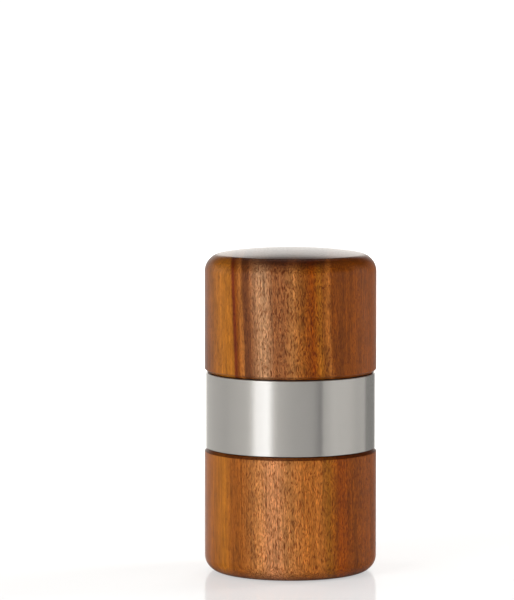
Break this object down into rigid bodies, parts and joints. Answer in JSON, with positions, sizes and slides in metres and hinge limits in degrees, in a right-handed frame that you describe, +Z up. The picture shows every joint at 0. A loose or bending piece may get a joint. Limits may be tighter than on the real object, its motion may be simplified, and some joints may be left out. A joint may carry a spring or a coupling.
{
  "type": "nutmeg grater",
  "caption": "Round twist-action nutmeg mill: wooden knob that turns and lifts off to load a nutmeg, brushed steel waist over a grating disc, and wooden storage base that pulls off.",
  "frame": {"origin": "centre of the underside, on the surface that the grater stands on", "axes": "+Z up along the axis that the knob turns about; the first disc screw lies along +X"},
  "size_m": [0.05, 0.05, 0.0943],
  "materials": {
    "acacia": "turned acacia, oiled to a satin",
    "brushed_steel": "stainless tube, brushed round its girth",
    "stainless_sheet": "punched stainless sheet",
    "zinc_steel": "bright zinc",
    "spring_steel": "drawn wire",
    "black_nylon": "moulded, fine matt",
    "grey_nylon": "moulded, fine matt",
    "white_acetal": "moulded, smooth",
    "seal_rubber": "moulded nitrile rubber"
  },
  "bodies": {
    "base": {"base_cup": "acacia", "base_liner": "grey_nylon"},
    "mill_body": {"outlet_ring": "black_nylon", "base_seal": "seal_rubber", "housing": "black_nylon", "steel_band": "brushed_steel", "grating_disc": "stainless_sheet", "disc_clamp": "grey_nylon", "disc_screw_1": "zinc_steel", "disc_screw_2": "zinc_steel", "disc_screw_3": "zinc_steel", "glide_washer": "white_acetal", "keeper_ring": "grey_nylon"},
    "turning_ring": {"turning_ring": "grey_nylon", "knob_seal": "seal_rubber"},
    "knob": {"knob_cap": "acacia", "knob_barrel": "black_nylon", "cap_screw_1": "zinc_steel", "cap_screw_2": "zinc_steel", "cap_screw_3": "zinc_steel", "pressure_spring": "spring_steel"},
    "plunger": {"plunger": "white_acetal", "claw_plate": "stainless_sheet", "claw_screw": "zinc_steel"}
  },
  "joints": [
    {"name": "body_lift", "type": "slide", "parent": "base", "child": "mill_body", "axis": [0, 0, 1], "range_m": [0, 0.04]},
    {"name": "knob_turn", "type": "hinge", "parent": "mill_body", "child": "turning_ring", "pos_m": [0, 0, 0.0546], "axis": [0, 0, 1], "continuous": true},
    {"name": "knob_lift", "type": "slide", "parent": "turning_ring", "child": "knob", "axis": [0, 0, 1], "range_m": [0, 0.045]},
    {"name": "plunger_travel", "type": "slide", "parent": "knob", "child": "plunger", "axis": [0, 0, 1], "range_m": [0, 0.021], "stiffness_N_per_m": 300, "springref_m": -0.02, "deforming": ["pressure_spring"]}
  ]
}
